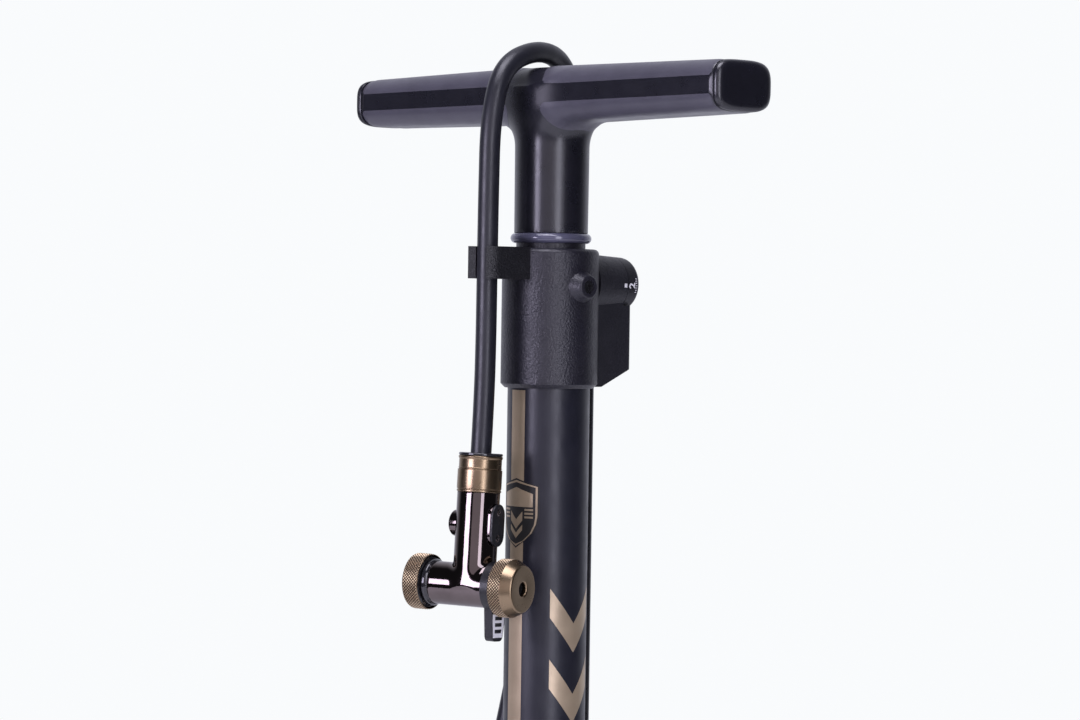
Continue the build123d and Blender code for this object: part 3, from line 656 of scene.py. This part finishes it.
def pump_head():
    """The collar, neck, cross tube, cover and knobs that hang from the hose."""
    cover_back, cover_face = COVER_OUT, COVER_OUT + COVER_THICK
    made = [head_casting()]
    made.append(turned("collar_lip", [
        (5.2, -1.4), (5.2, -0.3), (5.8, 0), (10.1, 0), (10.5, -0.3), (10.5, -1.1), (9.8, -1.4)],
        NECK, "black_chrome", "head", corner=0.2, replaces=("head_collar",)))
    made.append(turned("collar_body", [
        (5.2, -1.3), (9.9, -1.3), (10.4, -1.5), (10.6, -2.0), (10.45, -2.6), (10.2, -2.9), (10.2, -7.0),
        (10.45, -7.1), (10.45, -7.4), (10.1, -7.5), (10.1, -7.8), (10.65, -8.0), (10.65, -17.1),
        (10.3, -17.3), (10.3, -17.6), (10.65, -17.8), (10.65, -18.4), (10.3, -18.6), (5.2, -18.6)],
        NECK, "bronze", "head", corner=0.12, replaces=("head_collar",)))
    made.append(plate("cover_seat", capsule_outline(9.4, 4.9), 6, cover_back, COVER, "dark_chrome", "head",
                      bevel=0.6, replaces=("head_body",)))
    made.append(plate("cover_plate", capsule_outline(10.2, 5.6), cover_back, cover_face, COVER,
                      "black_plastic", "head", bevel=0.4, replaces=("side_cover",)))
    for name, drop in (("cover_screw_upper", -COVER_SCREW_REACH), ("cover_screw_lower", COVER_SCREW_REACH)):
        place = COVER @ Matrix.Translation((drop * MM, 0, cover_face * MM))
        made.append(turned(name, [
            (0, -0.25), (0.8, -0.25), (0.9, 0.12), (1.5, 0.2), (1.8, -0.05), (1.8, -0.4)],
            place, "dark_chrome", "head", corner=0.1, around=32, replaces=("side_cover_screws",)))
    made.append(turned("button_bezel", [
        (4.7, -7.5), (4.7, -12.0), (5.0, -12.5), (5.7, -12.6), (6.3, -11.9), (6.3, -7.0)],
        COVER, "dark_chrome", "head", corner=0.3, replaces=("head_body",)))
    made.append(turned("button_dome", [
        (0, -13.4), (1.6, -13.25), (3.0, -12.8), (4.1, -12.0), (4.5, -11.2), (4.5, -8.8), (0, -8.8)],
        COVER, "black_chrome", "button", corner=0.5, replaces=("release_button",)))
    made.append(turned("gland", [
        (4.2, -23.3), (10.6, -23.3), (11.2, -22.7), (11.2, -21.2), (10.3, -20.0), (4.2, -20.0)],
        CROSS, "black_chrome", "head", replaces=("cross_gland",)))
    made.append(turned("tool_disc", [
        (4.2, -23.8), (10.8, -23.8), (12.0, -24.2), (12.55, -25.0), (12.55, -26.7), (4.2, -26.7)],
        CROSS, "black_chrome", "tool_slider", corner=0.4, replaces=("tool_collar",)))
    made.append(turned("tool_knob_body", [
        (4.1, -26.9), (4.1, -32.6), (4.4, -33.0), (11.3, -33.1), (12.9, -32.3), (12.9, -24.3),
        (13.2, -23.9), (12.9, -23.7), (12.7, -24.0), (12.7, -26.85), (4.1, -26.9)],
        CROSS, "bronze", "tool_knob", corner=0.3, replaces=("tool_knob",)))
    made.append(knurled("tool_knob_knurl", TOOL_KNURL_R, -32.3, -24.2, CROSS, TOOL_TEETH, "tool_knob"))
    made.append(turned("chuck_body", [
        (8.3, 18.3), (8.15, 15.3), (12.6, 15.3), (13.3, 15.8), (13.3, 21.9), (13.8, 22.0), (13.9, 22.4),
        (11.4, 27.0), (11.0, 27.4), (10.6, 27.5), (3.9, 27.5), (3.3, 27.0), (3.2, 25.2), (4.4, 25.0)],
        CROSS, "bronze", "chuck", corner=0.35, replaces=("chuck_knob",)))
    made.append(knurled("chuck_knurl", CHUCK_KNURL_R, 15.5, 22.1, CROSS, CHUCK_TEETH, "chuck"))
    return made


head_pieces = pump_head()


# ---------------------------------------------------------------- printed marks, in millimetres
PRINT_T = 0.05                     # thickness of a printed mark
FRONT, RIGHT = -90, 0              # headings on the barrel, in degrees from +X
STRIPE_HALF = 4.6
STRIPE_LOW = 70.0
CHEVRON_COUNT = 12
CHEVRON_TOP = 494.5
CHEVRON_PITCH = 34
CHEVRON_HALF = 12.7
CHEVRON_DROP = 17                  # from a chevron's corners to its point
CHEVRON_T = 14
BADGE_MIDDLE = 530.2


def wrapped(name, outlines, place, finish, body, thickness=PRINT_T, slices=1.0):
    """Thin printed shapes, cut into slices and laid on a curved surface by place(u, v, lift)."""
    work = bmesh.new()
    for outline in outlines:
        work.faces.new([work.verts.new((u, v, 0)) for u, v in outline])
    lows = min(vert.co.x for vert in work.verts)
    highs = max(vert.co.x for vert in work.verts)
    cut = lows + slices
    while cut < highs:
        geometry = work.verts[:] + work.edges[:] + work.faces[:]
        bmesh.ops.bisect_plane(work, geom=geometry, plane_co=(cut, 0, 0), plane_no=(1, 0, 0))
        cut += slices
    made = bmesh.ops.extrude_face_region(work, geom=work.faces[:])
    for vert in [item for item in made["geom"] if isinstance(item, bmesh.types.BMVert)]:
        vert.co.z = thickness
    for vert in work.verts:
        vert.co = place(vert.co.x, vert.co.y, vert.co.z)
    bmesh.ops.recalc_face_normals(work, faces=work.faces)
    mesh = bpy.data.meshes.new(name)
    work.to_mesh(mesh)
    work.free()
    return finished(name, mesh, finish, body)


def on_barrel(heading):
    """Lay (along the wall, up, out) in millimetres on the barrel at a heading in degrees."""
    def place(u, v, lift):
        reach = BARREL_R + (lift + 0.01) * MM
        angle = math.radians(heading) + u * MM / BARREL_R
        return Vector((reach * math.cos(angle), reach * math.sin(angle), v * MM))
    return place


def shield(middle, grow):
    """A plain shield outline, grown outwards, in millimetres."""
    right = [(12.0, 13.0), (12.0, -1.0), (11.3, -5.0), (9.2, -9.2), (5.4, -12.8)]
    side = [(u + grow, middle + v + 0.3 * grow) for u, v in right]
    left = [(-u, v) for u, v in reversed(side)]
    return [(0, middle + 16 + grow)] + side + [(0, middle - 15.8 - grow)] + left


def chevron(half, top, drop, thick):
    """A V-shaped bar pointing down, its upper corners at the height top."""
    return [(-half, top), (0, top - drop), (half, top), (half, top - thick),
            (0, top - drop - thick), (-half, top - thick)]


def barrel_marks():
    """The front stripe, the row of chevrons on the right and a plain shield."""
    half, low, high = STRIPE_HALF, STRIPE_LOW, CAP_LOW.z / MM - 1
    stripe = [[(-half, low), (half, low), (half, high), (-half, high)]]
    wrapped("front_stripe", stripe, on_barrel(FRONT), "bronze_paint", "barrel")
    row = [chevron(CHEVRON_HALF, CHEVRON_TOP - CHEVRON_PITCH * index, CHEVRON_DROP, CHEVRON_T)
           for index in range(CHEVRON_COUNT)]
    wrapped("side_pattern", row, on_barrel(RIGHT), "bronze_paint", "barrel")
    middle = BADGE_MIDDLE
    wrapped("badge_field", [shield(middle, 0.9)], on_barrel(FRONT), "print_black", "barrel",
            thickness=0.08)
    outer, inner = shield(middle, 0.0), shield(middle, -1.0)
    shapes = []
    for index, corner in enumerate(outer):
        ahead = (index + 1) % len(outer)
        shapes.append([corner, outer[ahead], inner[ahead], inner[index]])
    shapes.append([(-9.6, middle + 3.2), (-9.6, middle + 9.6), (0, middle + 12.6), (9.6, middle + 9.6),
                   (9.6, middle + 3.2)])
    for drop in (1.4, -0.4, -2.2):
        for side in (-1, 1):
            bar = sorted((side * 5.2, side * 9.8))
            shapes.append([(bar[0], middle + drop), (bar[1], middle + drop),
                           (bar[1], middle + drop + 0.9), (bar[0], middle + drop + 0.9)])
    shapes.append(chevron(4, middle + 1, 4, 4.4))
    shapes.append(chevron(4, middle - 5.4, 4, 2.6))
    wrapped("badge_lines", shapes, on_barrel(FRONT), "bronze_paint", "barrel", thickness=0.14)


barrel_marks()


def glyph_mesh(name, words, height, place):
    """Numerals as a flat mesh, laid on a surface by place(u, v, lift) in millimetres."""
    curve = bpy.data.curves.new(name, "FONT")
    curve.body = words
    curve.size = height
    curve.align_x = "CENTER"
    curve.align_y = "CENTER"
    curve.offset = height * 0.03
    holder = bpy.data.objects.new(name, curve)
    mesh = bpy.data.meshes.new_from_object(holder)
    bpy.data.objects.remove(holder)
    for vertex in mesh.vertices:
        vertex.co = place(vertex.co.x, vertex.co.y, 0.04)
    return mesh


KNOB_LOW, KNOB_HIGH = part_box("selector_knob")
POD_ROOT_Y = 20.0
POD_ROOT_R, POD_SEAM_R, POD_TIP_R = 14.7, 13.5, 12.9
STAGE_ANGLES = (("2", -3), ("1", 87))
INDEX_HALF = 0.95


def pod_radius(along):
    """The selector's radius at a distance along its axis, in millimetres."""
    seam = KNOB_LOW.y / MM
    face = KNOB_HIGH.y / MM
    if along < seam:
        return POD_ROOT_R + (POD_SEAM_R - POD_ROOT_R) * (along - POD_ROOT_Y) / (seam - POD_ROOT_Y)
    return POD_SEAM_R + (POD_TIP_R - POD_SEAM_R) * (along - seam) / (face - seam)


def on_pod(y_middle, angle, turned_up=False):
    """Lay marks on the selector's round side; turned up, they read around it."""
    def place(u, v, lift):
        across, along = (u, -v) if turned_up else (v, u)
        turn = math.radians(angle) + across / POD_SEAM_R
        reach = (pod_radius(y_middle + along) + lift) * MM
        rise = reach * math.sin(turn)
        return Vector((reach * math.cos(turn), (y_middle + along) * MM, SELECTOR_AXIS.z + rise))
    return place


def selector_marks():
    """An index square on the housing, and a numeral and a scale for each stage on the knob."""
    half = INDEX_HALF
    square = [[(-half, -half), (half, -half), (half, half), (-half, half)]]
    wrapped("selector_index", square, on_pod(37.9, -3), "print_white", "barrel")
    for number, angle in STAGE_ANGLES:
        mesh = glyph_mesh("stage_" + number, number, 5.8, on_pod(42.7, angle, True))
        finished("stage_" + number, mesh, "print_white", "selector")
        ticks = []
        for step in range(7):
            up = (step - 3) * 1.15
            ticks.append([(-0.55, up - 0.2), (0.55, up - 0.2), (0.55, up + 0.2), (-0.55, up + 0.2)])
        wrapped("stage_scale_" + number, ticks, on_pod(45.4, angle), "print_white", "selector",
                thickness=0.04)


# ---------------------------------------------------------------- gauge face
DIAL_TOP = 15.8                    # millimetres above the gauge's frame
DIAL_START, DIAL_SWEEP = 225, 270  # degrees
DIAL_TICKS = 32
NUMBER_EVERY = 8                   # ticks from one numeral to the next
NUMBER_STEP = 40
NUMBER_R = 17.0
UNCUT = 100.0                      # a slice wider than the mark leaves it in one piece


def gauge_marks():
    """Ticks and numerals on the flat dial."""

    def on_dial(u, v, lift):
        return GAUGE @ (Vector((u, v, DIAL_TOP + 0.02 + lift)) * MM)

    ticks = []
    for step in range(DIAL_TICKS + 1):
        angle = math.radians(DIAL_START - DIAL_SWEEP * step / DIAL_TICKS)
        long_tick = step % 4 == 0
        out, wide = 26.0, 0.45 if long_tick else 0.22
        back = 21.8 if long_tick else 23.8
        along = Vector((math.cos(angle), math.sin(angle)))
        across = Vector((-along.y, along.x)) * wide
        corners = [along * back - across, along * out - across, along * out + across, along * back + across]
        ticks.append([tuple(corner) for corner in corners])
    wrapped("dial_ticks", ticks, on_dial, "print_black", "barrel", 0.03, UNCUT)
    numbers = DIAL_TICKS // NUMBER_EVERY
    for step in range(numbers + 1):
        angle = math.radians(DIAL_START - DIAL_SWEEP * step / numbers)
        middle = Vector((math.cos(angle), math.sin(angle))) * NUMBER_R

        def place(u, v, lift, middle=middle):
            return on_dial(middle.x + u, middle.y + v, lift)

        words = str(step * NUMBER_STEP)
        mesh = glyph_mesh("dial_number_" + words, words, 5.0, place)
        finished("dial_number_" + words, mesh, "print_black", "barrel")


gauge_marks()
selector_marks()


# ---------------------------------------------------------------- lever insert and the cord
LEVER_FACE = 14.72                 # millimetres out along the cross tube
LADDER_TOP, LADDER_END = 12.6, 23.8


def on_lever(u, v, lift):
    return CROSS @ (Vector((v, u, LEVER_FACE + lift)) * MM)


def lever_insert():
    """A light ladder set into the lever's tail."""
    rails = [[(side * 5.4, LADDER_TOP), (side * 3.3, LADDER_TOP), (side * 3.0, LADDER_END),
              (side * 4.0, LADDER_END)] for side in (-1, 1)]
    rungs = []
    for top, bottom in ((LADDER_TOP, 13.7), (15.5, 16.8), (18.6, 19.9), (21.7, LADDER_END)):
        half = 3.3 - 0.3 * (top - LADDER_TOP) / 11
        rungs.append([(-half, top), (half, top), (half, bottom), (-half, bottom)])
    return wrapped("lever_insert", rails + rungs, on_lever, "print_white", "lever",
                   thickness=0.25, slices=UNCUT)


head_pieces.append(lever_insert())


# ---------------------------------------------------------------- studio
CAMERA_AZIMUTH = 47.4              # degrees from the front towards +X
CAMERA_DISTANCE = 1.5895
CAMERA_HEIGHT = 0.633
CAMERA_PITCH = -1.05
CAMERA_ROLL = 0.85
CAMERA_YAW = -0.16
FOCAL_PIXELS = 3275.7
FRAME_PIXELS = 1080
SENSOR = 36.0
LIGHT_AIM = Vector((0, 0, 0.62))
FLOOR_R = 1.5


def towards(azimuth):
    """The level direction from the object towards an azimuth: 0 is the front, 90 is +X."""
    angle = math.radians(azimuth)
    return Vector((math.sin(angle), -math.cos(angle), 0))


def make_camera():
    data = bpy.data.cameras.new("camera")
    data.sensor_width = SENSOR
    data.lens = SENSOR * FOCAL_PIXELS / FRAME_PIXELS
    data.clip_start = 0.05
    camera = bpy.data.objects.new("camera", data)
    bpy.context.scene.collection.objects.link(camera)
    back = towards(CAMERA_AZIMUTH)
    aim = Matrix((back.cross(Vector((0, 0, -1))), Vector((0, 0, 1)), back)).transposed().to_4x4()
    yaw = Matrix.Rotation(math.radians(-CAMERA_YAW), 4, "Y")
    pitch = Matrix.Rotation(math.radians(CAMERA_PITCH), 4, "X")
    roll = Matrix.Rotation(math.radians(CAMERA_ROLL), 4, "Z")
    spot = back * CAMERA_DISTANCE + Vector((0, 0, CAMERA_HEIGHT))
    camera.matrix_world = Matrix.Translation(spot) @ aim @ (yaw @ pitch) @ roll
    bpy.context.scene.camera = camera


def softbox(name, azimuth, height, distance, width, tall, glow, colour):
    """A rectangular light facing the pump; glow is its brightness, whatever its size."""
    data = bpy.data.lights.new(name, "AREA")
    data.shape = "RECTANGLE"
    data.size = width
    data.size_y = tall
    data.energy = glow * math.pi * width * tall
    data.color = colour
    light = bpy.data.objects.new(name, data)
    bpy.context.scene.collection.objects.link(light)
    spot = towards(azimuth) * distance + Vector((0, 0, height))
    light.location = spot
    light.rotation_euler = (spot - LIGHT_AIM).to_track_quat("Z", "Y").to_euler()


def studio_world():
    """Near white where seen directly; as light, a pale backdrop behind the pump and a dim room in front."""
    world = bpy.data.worlds.new("studio")
    bpy.context.scene.world = world
    world.use_nodes = True
    tree = world.node_tree
    seen = tree.nodes["Background"]
    seen.inputs["Color"].default_value = (0.95, 0.965, 0.98, 1)
    lit = tree.nodes.new("ShaderNodeBackground")
    lit.inputs["Color"].default_value = (0.86, 0.87, 1.0, 1)
    place = tree.nodes.new("ShaderNodeTexCoord")
    dot = tree.nodes.new("ShaderNodeVectorMath")
    dot.operation = "DOT_PRODUCT"
    dot.inputs[1].default_value = -towards(CAMERA_AZIMUTH)
    ramp = tree.nodes.new("ShaderNodeMapRange")
    ramp.interpolation_type = "SMOOTHSTEP"
    ramp.inputs["From Min"].default_value = 0.2
    ramp.inputs["From Max"].default_value = 0.8
    ramp.inputs["To Min"].default_value = 0.035
    ramp.inputs["To Max"].default_value = 0.8
    path = tree.nodes.new("ShaderNodeLightPath")
    mix = tree.nodes.new("ShaderNodeMixShader")
    tree.links.new(place.outputs["Generated"], dot.inputs[0])
    tree.links.new(dot.outputs["Value"], ramp.inputs["Value"])
    tree.links.new(ramp.outputs["Result"], lit.inputs["Strength"])
    tree.links.new(path.outputs["Is Camera Ray"], mix.inputs[0])
    tree.links.new(lit.outputs[0], mix.inputs[1])
    tree.links.new(seen.outputs[0], mix.inputs[2])
    tree.links.new(mix.outputs[0], tree.nodes["World Output"].inputs["Surface"])


def studio():
    """Four soft lights and a plain pale floor."""
    softbox("strip_left", -5.0, 0.75, 1.6, 0.7, 0.62, 11.0, (0.82, 0.77, 1.0))
    softbox("front_fill", 42.0, 0.9, 1.95, 1.7, 1.5, 0.7, (0.92, 0.84, 0.95))
    softbox("strip_right", 69.5, 0.85, 1.8, 0.5, 1.9, 5.0, (0.86, 0.85, 1.0))
    softbox("top", 30.0, 2.4, 0.5, 1.4, 1.4, 7.0, (0.88, 0.86, 1.0))
    work = bmesh.new()
    bmesh.ops.create_circle(work, cap_ends=True, segments=96, radius=FLOOR_R)
    mesh = bpy.data.meshes.new("floor")
    work.to_mesh(mesh)
    work.free()
    mesh.materials.append(surface("floor_paint", (0.86, 0.87, 0.88), 0.55, mottle=0.01))
    floor = bpy.data.objects.new("floor", mesh)
    bpy.context.scene.collection.objects.link(floor)
    bpy.context.scene.view_settings.view_transform = "Standard"


make_camera()
studio_world()
studio()
